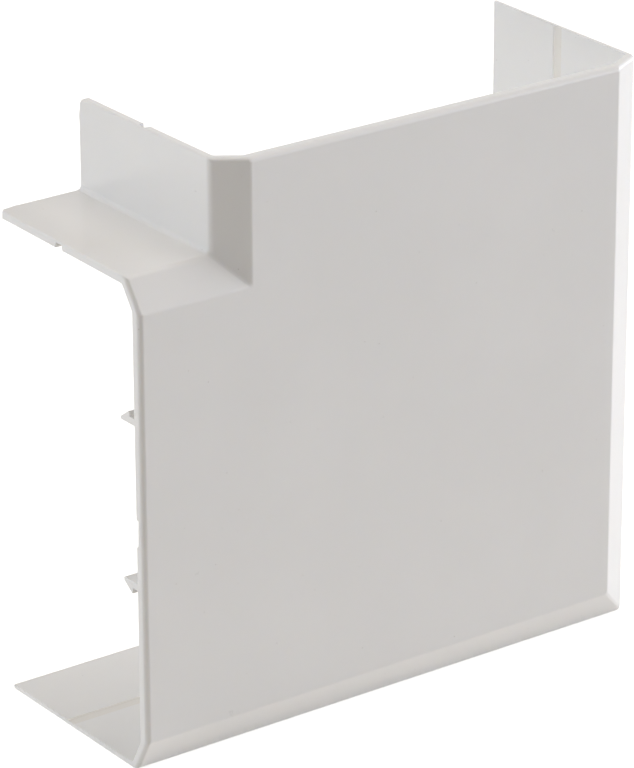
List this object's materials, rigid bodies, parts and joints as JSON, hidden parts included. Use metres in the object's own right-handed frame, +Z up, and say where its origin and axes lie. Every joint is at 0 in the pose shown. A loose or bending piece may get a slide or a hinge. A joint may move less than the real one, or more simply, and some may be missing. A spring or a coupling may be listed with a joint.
{
  "type": "trunking flat angle",
  "caption": "Flat right-angle cover for wall trunking: an open-backed channel bend with bevelled edges, a notched inner corner, break lines and snap legs.",
  "frame": {"origin": "bottom centre of the bounding box, under the outer wall that the cover stands on", "axes": "+X across the face, with one arm opening towards -X; +Y from the front face to the open back; +Z up, with the other arm opening towards +Z"},
  "size_m": [0.136, 0.0536, 0.136],
  "materials": {
    "white_plastic": "semi-gloss moulded white"
  },
  "bodies": {
    "root": {"flat_angle_cover": "white_plastic"}
  },
  "joints": []
}
